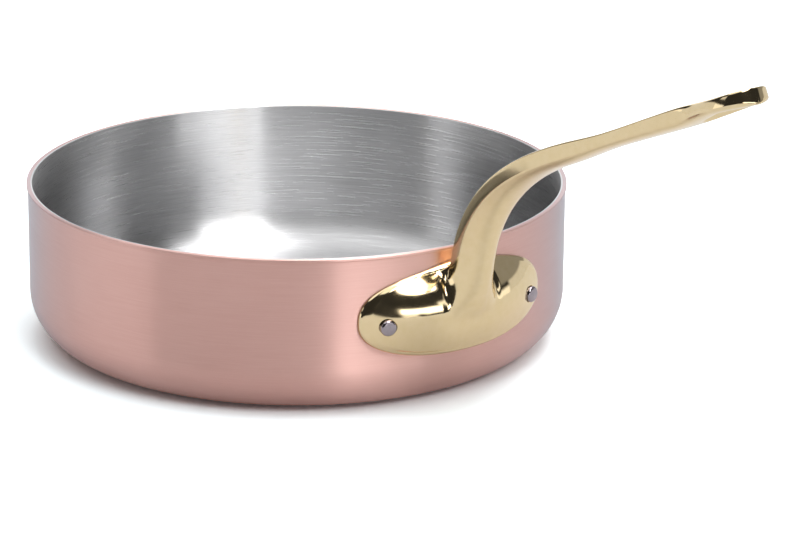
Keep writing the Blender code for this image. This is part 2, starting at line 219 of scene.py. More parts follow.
@dataclass(frozen=True)
class PolishedMetal(Finish):
    """A casting or a rivet polished to a mirror, with the soft waves that a buff leaves."""

    name: str
    colour: str
    shaded_colour: str
    roughness: float
    wave_mm: float
    wave_depth_mm: float
    wave_detail: float = 1.0
    haze_per_wave: float = 4.0
    haze_detail: float = 4.0
    haze_change: float = 0.25

    def work(self, tree: NodeTree, shader: Node, place: NodeSocket) -> None:
        """Give the metal its waves and its faint haze.

        Args:
            tree: The material's node tree.
            shader: The bare metal's shader.
            place: The point on the object, in metres.
        """
        waves = add_node(tree, "TexNoise", {
            "Scale": 1 / (self.wave_mm * MILLIMETRE), "Detail": self.wave_detail},
            vector=place)
        haze = add_node(tree, "TexNoise", {
            "Scale": self.haze_per_wave / (self.wave_mm * MILLIMETRE),
            "Detail": self.haze_detail}, vector=place)
        roughness = add_node(tree, "MapRange", {
            1: NOISE_LOW, 2: NOISE_HIGH, 3: self.roughness * (1 - self.haze_change),
            4: self.roughness * (1 + self.haze_change)}, in0=haze).outputs[0]
        colour = add_node(tree, "Mix", {
            "data_type": "RGBA", 6: linear(self.colour), 7: linear(self.shaded_colour)},
            in0=haze).outputs[2]
        relief = add_node(tree, "Bump", {"Distance": self.wave_depth_mm * MILLIMETRE},
                          height=waves).outputs[0]
        for label, source in (("Roughness", roughness), ("Base Color", colour),
                              ("Normal", relief)):
            tree.links.new(source, shader.inputs[label])


# Copper sheet, brushed satin on the lathe: a pinkish metal whose reflections smear into soft
# upright bands, cooler where it is seen edge-on. Its real lines are about 0.05 mm apart, which
# is too fine to show, so they are drawn 0.35 mm apart.
SATIN_COPPER = BrushedMetal(
    name="satin_brushed_copper", colour="#F3C7BE", worn_colour="#E8B6AC", roughness=0.35,
    roughness_change=0.02, line_mm=0.35, line_depth_mm=0.0015, line_contrast=0.5,
    edge_colour="#D0F0FF")
# Stainless steel sheet, brushed with a coarser belt: a neutral grey with lines that show one by
# one. The real ones are about 0.1 mm apart and are drawn 0.5 mm apart for the same reason.
BRUSHED_STEEL = BrushedMetal(
    name="brushed_stainless_steel", colour="#E6E6E7", worn_colour="#C0C0C1", roughness=0.31,
    roughness_change=0.06, line_mm=0.5, line_depth_mm=0.004, line_contrast=0.7)
# Cast bronze, ground, polished and buffed: pale gold with sharp reflections, which the 14 mm
# waves of the grinding bend a little
POLISHED_BRONZE = PolishedMetal(
    name="polished_cast_bronze", colour="#EFDBB4", shaded_colour="#E4CEA1", roughness=0.09,
    wave_mm=14.0, wave_depth_mm=0.02)
# Stainless steel rivets, tumbled bright: a darker and slightly purple grey with soft reflections
BRIGHT_RIVET = PolishedMetal(
    name="bright_stainless_rivet", colour="#AEA7AB", shaded_colour="#998F98", roughness=0.16,
    wave_mm=3.0, wave_depth_mm=0.01)


# Shapes


def smooth_step(value: float) -> float:
    """Rise gently from 0 to 1 as value goes from 0 to 1."""
    value = min(max(value, 0.0), 1.0)
    return value * value * (3 - 2 * value)


def bezier(start: Any, leave: Any, arrive: Any, end: Any, share: float) -> Any:
    """Find a point on a cubic curve, for numbers or vectors.

    Args:
        start: Where the curve begins.
        leave: Where it heads at first.
        arrive: Where it comes from at last.
        end: Where it ends.
        share: How far along it, from 0 to 1.

    Returns:
        The point.
    """
    rest = 1 - share
    return (start * rest ** 3 + leave * (3 * rest * rest * share)
            + arrive * (3 * rest * share * share) + end * share ** 3)


def squared_circle(angle: float, fullness: float) -> tuple[float, float]:
    """Find where an angle lands on a circle of radius 1 that is squared off.

    Args:
        angle: The angle in radians.
        fullness: The exponent: 2 is a circle, and more is squarer.

    Returns:
        The point's two coordinates.
    """
    across, up = math.cos(angle), math.sin(angle)
    return (math.copysign(abs(across) ** (2 / fullness), across),
            math.copysign(abs(up) ** (2 / fullness), up))


def arc(centre: tuple[float, float], radius: float, start: float, end: float,
        steps: int) -> Profile:
    """List points on an arc.

    Args:
        centre: The arc's centre.
        radius: Its radius.
        start: The angle at its first point.
        end: The angle at its last point.
        steps: How many stretches it has.

    Returns:
        The points, in order.
    """
    angles = [math.radians(start + (end - start) * step / steps) for step in range(steps + 1)]
    return [(centre[0] + radius * math.cos(angle), centre[1] + radius * math.sin(angle))
            for angle in angles]


def mesh_object(name: str, points: list[Vector], faces: list[tuple[int, ...]]) -> Object:
    """Put a mesh in the scene, smooth but for its real corners.

    Args:
        name: The object's name.
        points: The mesh's points.
        faces: The mesh's faces, as numbers of points.

    Returns:
        The object.
    """
    mesh = bpy.data.meshes.new(name)
    mesh.from_pydata([tuple(point) for point in points], [], faces)
    mesh.validate()
    mesh.shade_smooth()
    mesh.set_sharp_from_angle(angle=SHARP_ANGLE)
    made = bpy.data.objects.new(name, mesh)
    bpy.context.scene.collection.objects.link(made)
    return made


def turned(name: str, profile: Profile, segments: int) -> Object:
    """Spin a closed profile round the Z axis.

    Args:
        name: The object's name.
        profile: Points of radius and height, against the clock; a radius of 0 is on the axis.
        segments: How many stretches the round has.

    Returns:
        The object.
    """
    points: list[Vector] = []
    loops: list[list[int]] = []
    for radius, height in profile:
        first = len(points)
        if radius <= 0:
            points.append(Vector((0.0, 0.0, height)))
            loops.append([first] * segments)
            continue
        for step in range(segments):
            turn = math.tau * step / segments
            points.append(Vector((radius * math.cos(turn), radius * math.sin(turn), height)))
        loops.append(list(range(first, first + segments)))
    faces: list[tuple[int, ...]] = []
    closed = profile[0][0] > 0
    for near, far in zip(loops, loops[1:] + (loops[:1] if closed else [])):
        for step in range(segments):
            following = (step + 1) % segments
            corners = (near[step], near[following], far[following], far[step])
            face = tuple(dict.fromkeys(corners))
            if len(face) > 2:
                faces.append(face)
    return mesh_object(name, points, faces)


def lofted(name: str, rings: list[Ring]) -> Object:
    """Lay a closed skin over rings of equally many points.

    Args:
        name: The object's name.
        rings: The rings, in order; both ends are closed with a fan.

    Returns:
        The object.
    """
    count = len(rings[0])
    points = [point for ring in rings for point in ring]
    faces: list[tuple[int, ...]] = []
    for near in range(0, len(points) - count, count):
        for step in range(count):
            following = (step + 1) % count
            faces.append((near + step, near + following, near + count + following,
                          near + count + step))
    for first, ring in ((0, rings[0]), (len(points) - count, rings[-1])):
        middle = len(points)
        points.append(sum(ring, Vector()) / count)
        for step in range(count):
            pair = (first + step, first + (step + 1) % count)
            faces.append((*(pair[::-1] if first == 0 else pair), middle))
    return mesh_object(name, points, faces)


def cut_away(target: Object, cutters: list[Object]) -> None:
    """Take cutters out of a piece for good and remove them.

    Args:
        target: The piece.
        cutters: The objects to take out of it.
    """
    for cutter in cutters:
        modifier = target.modifiers.new(cutter.name, "BOOLEAN")
        modifier.operation = "DIFFERENCE"
        modifier.solver = "EXACT"
        modifier.object = cutter
    bpy.context.view_layer.update()
    graph = bpy.context.evaluated_depsgraph_get()
    mesh = bpy.data.meshes.new_from_object(target.evaluated_get(graph))
    target.modifiers.clear()
    target.data = mesh
    mesh.shade_smooth()
    mesh.set_sharp_from_angle(angle=SHARP_ANGLE)
    for cutter in cutters:
        bpy.data.objects.remove(cutter, do_unlink=True)


def dress(piece: Object, finish: Finish, slot: str, *nodes: str) -> Object:
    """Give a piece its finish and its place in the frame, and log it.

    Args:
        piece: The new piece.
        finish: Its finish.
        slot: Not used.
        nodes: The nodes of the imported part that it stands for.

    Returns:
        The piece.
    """
    piece.data.materials.clear()
    piece.data.materials.append(bpy.data.materials.get(finish.name) or finish.material())
    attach(piece, BODY)
    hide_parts(*nodes)
    LOG.info("%s stands for %s with %d faces", piece.name, ", ".join(nodes),
             len(piece.data.polygons))
    return piece


# The pan


@dataclass
class PanBody:
    """The clad body of the pan: a copper shell and its steel lining."""

    rim_diameter: float = 0.240
    height: float = 0.071
    corner_radius: float = 0.0225
    lip_proud: float = 0.0005
    lip_height: float = 0.0014
    copper_thickness: float = 0.0013
    lining_thickness: float = 0.0007
    edge_radius: float = 0.0002
    base_ring: float = 0.4
    segments: int = 360
    corner_steps: int = 24
    lip_steps: int = 3
    edge_steps: int = 4

    @property
    def wall_radius(self) -> float:
        """The outside radius of the wall below the lip."""
        return self.rim_diameter / 2 - self.lip_proud

    @property
    def bond_radius(self) -> float:
        """The radius at which copper and steel meet."""
        return self.wall_radius - self.copper_thickness

    def dish(self, outside: float, floor: float, corner: float) -> Profile:
        """List one side of the dish from its centre to the top of its corner.

        Args:
            outside: The radius of the side's wall.
            floor: The height of its flat base.
            corner: The radius of its corner.

        Returns:
            The points, in order.
        """
        return [(0.0, floor), (outside * self.base_ring, floor)] + arc(
            (outside - corner, floor + corner), corner, -90, 0, self.corner_steps)

    def build_shell(self) -> Object:
        """Build the copper outside with its base, corner, wall and trimmed lip.

        Returns:
            The shell.
        """
        lip_bottom = self.height - self.lip_height
        rim = self.rim_diameter / 2
        soft = self.edge_radius
        profile = self.dish(self.wall_radius, 0.0, self.corner_radius)
        profile += arc((self.wall_radius + soft, lip_bottom - soft), soft, 180, 90,
                       self.lip_steps)
        profile += arc((rim - soft, lip_bottom + soft + self.lip_proud / 2), soft, -60, 0,
                       self.lip_steps)
        profile += arc((rim - soft, self.height - soft), soft, 0, 90, self.edge_steps)
        inside = self.dish(self.bond_radius, self.copper_thickness,
                           self.corner_radius - self.copper_thickness)
        profile += [(self.bond_radius, self.height)] + inside[::-1]
        return dress(turned("shell", profile, self.segments), SATIN_COPPER, "copper",
                     "copper_shell")

    def build_lining(self) -> Object:
        """Build the steel inside, whose top edge shows as a thin line inside the rim.

        Returns:
            The lining.
        """
        soft = self.edge_radius
        inner = self.bond_radius - self.lining_thickness
        corner = self.corner_radius - self.copper_thickness
        outside = self.dish(self.bond_radius, self.copper_thickness, corner)
        inside = self.dish(inner, self.copper_thickness + self.lining_thickness,
                           corner - self.lining_thickness)
        profile = outside + [(self.bond_radius, self.height)]
        profile += arc((inner + soft, self.height - soft), soft, 90, 180, self.edge_steps)
        profile += inside[::-1]
        return dress(turned("lining", profile, self.segments), BRUSHED_STEEL, "steel",
                     "steel_lining")

    def build(self) -> None:
        """Build both pieces of the body."""
        self.build_shell()
        self.build_lining()


@dataclass
class Rivets:
    """The two rivets that go through the flange and the wall, with a head at each end."""

    wall_radius: float
    inside_radius: float
    along: float
    height: float
    seat: float
    clearance: float = 0.0003
    shank: float = 0.0056
    head: float = 0.0071
    head_height: float = 0.0027
    head_edge: float = 0.0013
    inner_head: float = 0.0110
    inner_head_height: float = 0.0017
    head_turn: float = 80.0
    segments: int = 48
    head_steps: int = 10

    def frame(self, side: RivetSide) -> Matrix:
        """Place a rivet so that its own Z axis points out of the pan."""
        return (Matrix.Translation((0.0, 0.0, self.height))
                @ Matrix.Rotation(side.value * self.along / self.wall_radius, 4, "Z")
                @ Matrix.Rotation(math.pi / 2, 4, "Y"))

    def cutter(self, side: RivetSide) -> Object:
        """Make the bore for a rivet and the flat seat for its outer head.

        Args:
            side: Which rivet.

        Returns:
            The object to cut with.
        """
        bore = self.shank / 2 + self.clearance
        seat = self.head / 2 + self.clearance
        start = self.inside_radius - self.inner_head
        end = self.seat + 4 * self.head
        profile = [(0.0, start), (bore, start), (bore, self.seat), (seat, self.seat),
                   (seat, end), (0.0, end)]
        made = turned("bore_" + side.name.lower(), profile, self.segments)
        made.matrix_world = self.frame(side)
        return made

    def build_one(self, side: RivetSide) -> Object:
        """Build one rivet.

        Args:
            side: Which rivet.

        Returns:
            The rivet.
        """
        inner, shank, head = self.inner_head / 2, self.shank / 2, self.head / 2
        under_inner = math.sqrt(self.inside_radius ** 2 - inner ** 2) - self.clearance
        under_outer = self.seat + self.clearance / 2
        top = self.seat + self.clearance + self.head_height
        dome = (inner ** 2 + self.inner_head_height ** 2) / (2 * self.inner_head_height)
        profile = arc((0.0, under_inner - self.inner_head_height + dome), dome, -90,
                      math.degrees(math.asin(inner / dome)) - 90, self.head_steps)
        profile += [(shank, under_inner), (shank, under_outer), (head, under_outer)]
        profile += arc((head - self.head_edge, top - self.head_edge), self.head_edge, 0,
                       self.head_turn, self.head_steps) + [(0.0, top)]
        name = "rivet_" + side.name.lower()
        made = turned("bright_" + name, profile, self.segments)
        made.data.transform(self.frame(side))
        return dress(made, BRIGHT_RIVET, "rivet_steel", name)

    def build(self) -> None:
        """Build both rivets."""
        for side in RivetSide:
            self.build_one(side)


@dataclass
class CastHandle:
    """The cast handle: flange, neck, bend, and a grip that flares round the hanging hole."""

    wall_radius: float
    rim_height: float
    clearance: float = 0.0003
    # The flange's outline, its edge and the slope just inside
    flange_length: float = 0.0975
    flange_below_rim: float = 0.0292
    flange_depth_below: float = 0.0176
    flange_depth_above: float = 0.0203
    flange_fullness_below: float = 2.35
    flange_fullness_above: float = 2.5
    flange_peak: float = 0.0035
    flange_peak_width: float = 0.0170
    flange_edge: float = 0.0032
    flange_top_edge: float = 0.0012
    flange_end_edge: float = 0.0029
    flange_edge_radius: float = 0.0024
    top_edge_curve: float = 6.0
    flange_crown: float = 8.0
    flange_top_crown: float = 30.0
    # The ridge along the flange's face, and the fall beside it
    ridge_level: float = 0.0030
    ridge_end_curve: float = 4.0
    ridge_rise: float = 0.0069
    ridge_fullness: float = 1.9
    ridge_fall: float = 1.3
    roll_back: float = 0.45
    roll_curve: float = 2.2
    under_curve: float = 1.8
    # How the face rises into the neck
    wing_near: float = 0.0095
    wing_far: float = 0.0150
    neck_foot: float = 0.0090
    face_pull: float = 0.45
    face_levelling: float = 0.6
    # The neck and the bend
    neck_width: float = 0.0190
    neck_depth: float = 0.0135
    neck_gap: float = 0.0042
    neck_below_rim: float = 0.0050
    neck_lean: float = 80.0
    neck_reach: float = 0.0300
    bend_reach: float = 0.0330
    # The sections: how square they are, and the share that lies below their widest line
    top_squareness: float = 12.0
    under_squareness: float = 2.5
    neck_squareness: float = 1.9
    neck_share: float = 0.92
    grip_share: float = 0.38
    # The sides of the flare and the tip, which lean in
    tip_draft: float = 27.0
    draft_start: float = 0.0012
    draft_length: float = 0.0110
    draft_end: float = 60.0
    # The grip, from the bend to its tip
    grip_out: float = 0.0665
    grip_up: float = 0.0551
    grip_slope: float = 24.1
    grip_length: float = 0.1088
    grip_width: float = 0.0160
    grip_depth: float = 0.0092
    slim_place: float = 0.0350
    slim_width: float = 0.0150
    slim_depth: float = 0.0069
    flare_length: float = 0.0270
    flare_width: float = 0.0175
    flare_depth: float = 0.0082
    tip_radius: float = 0.0122
    tip_depth: float = 0.0066
    tip_edge_radius: float = 0.0005
    # The hanging hole
    hole_radius: float = 0.0070
    hole_narrow_radius: float = 0.0030
    hole_length: float = 0.0140
    hole_from_tip: float = 0.0133
    hole_edge_radius: float = 0.0012
    hole_under_radius: float = 0.0024
    # The places of the rivets
    rivet_from_end: float = 0.01165
    rivet_below_middle: float = 0.0006
    rivet_seat_rise: float = 0.0013
    # How finely the skin is laid
    ring_points: int = 144
    back_rings: int = 5
    edge_steps: int = 8
    blend_steps: int = 40
    bend_steps: int = 40
    grip_steps: int = 60
    tip_steps: int = 22
    tip_turn: float = 88.0
    hole_wide_steps: int = 36
    hole_narrow_steps: int = 18
    look_ahead: float = 0.001

    @property
    def level(self) -> float:
        """The height of the flange's two ends."""
        return self.rim_height - self.flange_below_rim

    def on_wall(self, off: float, along: float, height: float) -> Vector:
        """Place a point that is given on the wall's own cylinder.

        Args:
            off: Its distance off the wall.
            along: Its distance along the wall from the handle's middle.
            height: Its height above the base.

        Returns:
            The point.
        """
        angle = along / self.wall_radius
        radius = self.wall_radius + max(off, self.clearance)
        return Vector((radius * math.cos(angle), radius * math.sin(angle), height))

    def heading(self, slope: float) -> Vector:
        """Give the direction in the handle's plane that rises by an angle from level."""
        return Vector((math.cos(math.radians(slope)), 0.0, math.sin(math.radians(slope))))

    def neck_root(self) -> Vector:
        """Give the centre of the neck where it leaves the flange."""
        return Vector((self.wall_radius + self.neck_gap + self.neck_depth / 2, 0.0,
                       self.rim_height - self.neck_below_rim))

    def grip_start(self) -> Vector:
        """Give the centre of the grip where the bend ends."""
        return Vector((self.wall_radius + self.grip_out, 0.0, self.rim_height + self.grip_up))

    def section(self, centre: Vector, slope: float, width: float, depth: float,
                formed: float = 1.0, draft: float = 0.0) -> Ring:
        """Lay a ring square to the handle's line, flat on top and round underneath.

        Args:
            centre: The ring's centre.
            slope: The handle's slope there.
            width: The ring's size across the handle.
            depth: Its size from top to underside.
            formed: How far it has the grip's form, from 0 at the neck to 1.
            draft: The angle at which its sides lean in towards the top.

        Returns:
            The ring.
        """
        back = self.heading(slope + 90)
        below = depth * (self.neck_share + (self.grip_share - self.neck_share) * formed)
        under = self.neck_squareness + (self.under_squareness - self.neck_squareness) * formed
        lean = math.tan(math.radians(draft))
        ring = []
        for step in range(self.ring_points):
            angle = math.tau * step / self.ring_points
            top = math.sin(angle) > 0
            across, up = squared_circle(angle, self.top_squareness if top else under)
            rise = up * (depth - below if top else below)
            above = max(rise, 0.0)
            half = width / 2 - lean * above ** 2 / (above + self.draft_start)
            ring.append(centre + back * (rise + below - depth / 2)
                        + Vector((0.0, across * half, 0.0)))
        return ring

    def under_neck(self, along: float, up: float) -> float:
        """Tell how much of a point of the flange's outline lies under the neck, from 0 to 1."""
        return math.exp(-(along / self.flange_peak_width) ** 2) if up > 0 else 0.0

    def edge_thickness(self, across: float, above: bool) -> float:
        """Give the flange's thickness at its edge.

        Args:
            across: How far the place is along the way to the flange's end, from 0 to 1.
            above: Whether it is on the upper edge.

        Returns:
            The thickness.
        """
        if above:
            growth = abs(across) ** self.top_edge_curve
            return self.flange_top_edge + (self.flange_end_edge - self.flange_top_edge) * growth
        return self.flange_edge + (self.flange_end_edge - self.flange_edge) * across ** 2

    def face_height(self, along: float, height: float) -> float:
        """Tell how far off the wall the flange's face stands, away from the neck.

        The face has a ridge that runs level from end to end. It falls gently to the lower edge
        and rolls back to the thin upper edge.

        Args:
            along: The distance along the wall from the handle's middle.
            height: The height above the level of the flange's ends.

        Returns:
            The distance off the wall.
        """
        across = min(abs(along) / (self.flange_length / 2), 1.0)
        ridge = self.flange_end_edge + self.ridge_rise * (
            1 - across ** self.ridge_fullness) ** self.ridge_fall
        level = self.ridge_level * (1 - across ** self.ridge_end_curve)
        if height > level:
            top = self.flange_depth_above * (1 - across ** self.flange_fullness_above) ** (
                1 / self.flange_fullness_above)
            share = min((height - level) / max(top - level, LEAST), 1.0)
            edge = self.edge_thickness(across, True)
            fall = self.roll_back * share + (1 - self.roll_back) * share ** self.roll_curve
        else:
            bottom = self.flange_depth_below * (1 - across ** self.flange_fullness_below) ** (
                1 / self.flange_fullness_below)
            share = min((level - height) / max(bottom + level, LEAST), 1.0)
            edge = self.edge_thickness(across, False)
            fall = share ** self.under_curve
        return ridge + (edge - ridge) * fall

    def edge_ring(self, share: float) -> Ring:
        """Lay one ring of the flange's rounded edge.

        Args:
            share: How far round the edge it lies, from 0 where it leaves the wall to 1.

        Returns:
            Points as distance off the wall, distance along it and height.
        """
        ring = []
        for step in range(self.ring_points):
            angle = math.tau * step / self.ring_points
            above = math.sin(angle) > 0
            across, up = squared_circle(angle, self.flange_fullness_above if above
                                        else self.flange_fullness_below)
            hidden = self.under_neck(across * self.flange_length / 2, up)
            crown = self.flange_crown + (
                self.flange_top_crown - self.flange_crown) * smooth_step(up)
            turn = math.radians((90 - crown) * share)
            edge = self.edge_thickness(across, above)
            edge += (self.neck_gap - edge) * hidden ** 2
            radius = min(self.flange_edge_radius, edge)
            inset = radius * (1 - math.cos(turn))
            depth = self.flange_depth_above if above else self.flange_depth_below
            ring.append(Vector((edge - radius + radius * math.sin(turn),
                                across * (self.flange_length / 2 - inset),
                                self.level + up * (depth - inset) + self.flange_peak * hidden)))
        return ring

    def back(self) -> list[Ring]:
        """Lay the back of the flange along the wall.

        Returns:
            Rings that grow from the flange's middle to its edge.
        """
        outline = self.edge_ring(0)
        middle = Vector((0.0, 0.0, self.level))
        rings = []
        for step in range(1, self.back_rings + 1):
            ring = [middle.lerp(point, step / self.back_rings) for point in outline]
            rings.append([self.on_wall(0.0, point.y, point.z) for point in ring])
        return rings

    def flange(self) -> list[Ring]:
        """Lay the flange's rounded edge and its face, up to the neck.

        Returns:
            The rings, in order.
        """
        rings = []
        for step in range(self.edge_steps + 1):
            ring = self.edge_ring(step / self.edge_steps)
            rings.append([self.on_wall(*point) for point in ring])
        face = self.edge_ring(1.0)
        wall = Vector((self.wall_radius, 0.0, 0.0))
        root = self.section(self.neck_root(), self.neck_lean, self.neck_width, self.neck_depth,
                            0.0)
        rise = math.tan(math.radians(self.flange_crown))
        for step in range(1, self.blend_steps):
            share = step / self.blend_steps
            ring = []
            for start, end in zip(face, root):
                end = end - wall
                reach = (end - start).length * self.face_pull
                inward = Vector((0.0, end.y - start.y,
                                 (self.level - start.z) * self.face_levelling))
                inward /= max(inward.length, reach)
                inward.x = rise
                hidden = self.under_neck(start.y, start.z - self.level) ** 2
                leave = (start + inward * reach).lerp(start.lerp(end, 1 / 3), hidden)
                arrive = (end - self.heading(self.neck_lean) * reach).lerp(
                    start.lerp(end, 2 / 3), hidden)
                point = bezier(start, leave, arrive, end, share)
                height = point.z - self.level
                wing = max(smooth_step((abs(point.y) - self.wing_near)
                                       / (self.wing_far - self.wing_near)),
                           smooth_step((self.ridge_level - height) / self.neck_foot))
                face_off = self.face_height(point.y, height)
                point.x += (face_off - point.x) * wing * (1 - hidden)
                ring.append(self.on_wall(*point).lerp(point + wall, smooth_step(share)))
            rings.append(ring)
        return rings

    def bend(self) -> list[Ring]:
        """Lay the neck and the bend, up to the straight grip.

        Returns:
            The rings, in order.
        """
        start, end = self.neck_root(), self.grip_start()
        leave = start + self.heading(self.neck_lean) * self.neck_reach
        arrive = end - self.heading(self.grip_slope) * self.bend_reach
        rings = []
        for step in range(self.bend_steps):
            share = step / self.bend_steps
            centre = bezier(start, leave, arrive, end, share)
            ahead = bezier(start, leave, arrive, end, share + self.look_ahead)
            slope = math.degrees(math.atan2(ahead.z - centre.z, ahead.x - centre.x))
            width = bezier(self.neck_width, self.neck_width, self.grip_width, self.grip_width,
                           share)
            depth = bezier(self.neck_depth, self.neck_depth, self.grip_depth, self.grip_depth,
                           share)
            rings.append(self.section(centre, slope, width, depth, smooth_step(share)))
        return rings

    def grip_size(self, along: float) -> tuple[float, float]:
        """Give the grip's size at a place on it.

        Args:
            along: The place's distance from the grip's start.

        Returns:
            The width and the depth.
        """
        stations = [(0.0, self.grip_width, self.grip_depth),
                    (self.slim_place, self.slim_width, self.slim_depth),
                    (self.grip_length - self.flare_length, self.flare_width, self.flare_depth),
                    (self.grip_length, 2 * self.tip_radius, self.tip_depth)]
        for near, far in zip(stations, stations[1:]):
            if along <= far[0]:
                break
        share = smooth_step((along - near[0]) / (far[0] - near[0]))
        return near[1] + (far[1] - near[1]) * share, near[2] + (far[2] - near[2]) * share

    def draft(self, along: float) -> float:
        """Give the angle at which the grip's sides lean in, at a distance from its start."""
        start = self.grip_length - self.flare_length
        return self.tip_draft * smooth_step((along - start) / self.draft_length)

    def grip(self) -> list[Ring]:
        """Lay the straight grip, its flare and its round tip.

        Returns:
            The rings, in order.
        """
        start, ahead = self.grip_start(), self.heading(self.grip_slope)
        rings = []
        for step in range(self.grip_steps):
            along = self.grip_length * step / self.grip_steps
            rings.append(self.section(start + ahead * along, self.grip_slope,
                                      *self.grip_size(along), 1.0, self.draft(along)))
        for step in range(self.tip_steps):
            turn = math.radians(
                self.tip_turn * math.sin(math.pi / 2 * step / (self.tip_steps - 1)))
            along = self.grip_length + self.tip_radius * math.sin(turn)
            to_end = min(self.tip_radius * (1 - math.sin(turn)), self.tip_edge_radius)
            thinning = self.tip_edge_radius - math.sqrt(
                self.tip_edge_radius ** 2 - (self.tip_edge_radius - to_end) ** 2)
            rings.append(self.section(start + ahead * along, self.grip_slope,
                                      2 * self.tip_radius * math.cos(turn),
                                      self.tip_depth - 2 * thinning, 1.0,
                                      self.tip_draft * (1 - smooth_step(
                                          math.degrees(turn) / self.draft_end))))
        return rings

    def hole_ring(self, along: float, above: bool, turn: float) -> Ring:
        """Lay one ring of the hanging hole's rounded edge: two round ends and straight sides.

        Args:
            along: The place of the hole's wide end on the grip.
            above: Whether the edge is the upper one.
            turn: The angle round the edge, 0 inside the hole and 90 where it meets the surface.

        Returns:
            The ring, in the grip's own directions.
        """
        radius = self.hole_edge_radius if above else self.hole_under_radius
        turned_off = radius * (1 - math.cos(math.radians(turn)))
        sunk = radius * (1 - math.sin(math.radians(turn)))
        lean = math.degrees(math.asin(
            (self.hole_radius - self.hole_narrow_radius) / self.hole_length))
        outline = arc((0.0, 0.0), self.hole_radius + turned_off, -90 - lean, 90 + lean,
                      self.hole_wide_steps)
        outline += arc((-self.hole_length, 0.0), self.hole_narrow_radius + turned_off, 90 + lean,
                       270 - lean, self.hole_narrow_steps)
        ring = []
        for x, y in outline:
            width, depth = self.grip_size(min(along + x, self.grip_length))
            fullness = self.top_squareness if above else self.under_squareness
            fall = (1 - min(abs(2 * y / width), 1.0) ** fullness) ** (1 / fullness)
            side = (1 - self.grip_share) if above else self.grip_share
            middle = (self.grip_share - 0.5) * depth
            height = middle + (side * depth * fall - sunk) * (1 if above else -1)
            ring.append(Vector((x, y, height)))
        return ring

    def hole_cutter(self) -> Object:
        """Make the hanging hole's cutter, which rounds the hole's edges.

        Returns:
            The object to cut with.
        """
        along = self.grip_length + self.tip_radius - self.hole_from_tip
        turns = [90 * step / self.edge_steps for step in range(self.edge_steps + 1)]
        lower = [self.hole_ring(along, False, turn) for turn in reversed(turns)]
        upper = [self.hole_ring(along, True, turn) for turn in turns]
        far = Vector((0.0, 0.0, self.grip_depth))
        rings = [[point - far for point in lower[0]]] + lower + upper
        rings.append([point + far for point in upper[-1]])
        made = lofted("hanging_hole", rings)
        made.location = self.grip_start() + self.heading(self.grip_slope) * along
        made.rotation_euler = (0.0, -math.radians(self.grip_slope), 0.0)
        return made

    def build(self, rivets: Rivets) -> Object:
        """Build the handle, bored for its rivets and for hanging.

        Args:
            rivets: The rivets that hold it.

        Returns:
            The handle.
        """
        made = lofted("bronze_handle", self.back() + self.flange() + self.bend() + self.grip())
        cutters = [self.hole_cutter()] + [rivets.cutter(side) for side in RivetSide]
        cut_away(made, cutters)
        return dress(made, POLISHED_BRONZE, "cast_metal", "handle")


# The studio


@dataclass(frozen=True)
class StudioCard:
    """A soft box or a dark card of the studio, which hides what is listed before it.

    Bearings count from the camera to its right and elevations from the horizon, in degrees. A
    strength of 1 is the white of the background.
    """

    bearing: float
    width: float
    low: float
    high: float
    strength: float
    edge: float = 2.0

    def window(self, tree: NodeTree, angle: Node, middle: float, reach: float) -> Node:
        """Make a value of 1 within reach of an angle and 0 outside it.

        Args:
            tree: The world's node tree.
            angle: The direction's angle, in degrees.
            middle: The window's middle.
            reach: Half of its width.

        Returns:
            The node that gives the value.
        """
        for settings in ({"operation": "SUBTRACT", 1: middle},
                         {"operation": "WRAP", 1: 180.0, 2: -180.0}, {"operation": "ABSOLUTE"}):
            angle = add_node(tree, "Math", settings, in0=angle)
        return add_node(tree, "MapRange", {
            "interpolation_type": "SMOOTHSTEP", 1: reach - self.edge, 2: reach + self.edge,
            3: 1.0, 4: 0.0}, in0=angle)

    def hang(self, tree: NodeTree, behind: Node, bearing: Node, elevation: Node) -> Node:
        """Hang the card in front of what is there already.

        Args:
            tree: The world's node tree.
            behind: The light's value in each direction without the card.
            bearing: The direction's bearing in degrees.
            elevation: The direction's height above the horizon in degrees.

        Returns:
            The light's value in each direction with the card.
        """
        across = self.window(tree, bearing, self.bearing, self.width / 2)
        upright = self.window(tree, elevation, (self.low + self.high) / 2,
                              (self.high - self.low) / 2)
        share = add_node(tree, "Math", {"operation": "MULTIPLY"}, in0=across, in1=upright)
        return add_node(tree, "Mix", {3: self.strength}, in0=share, in2=behind)


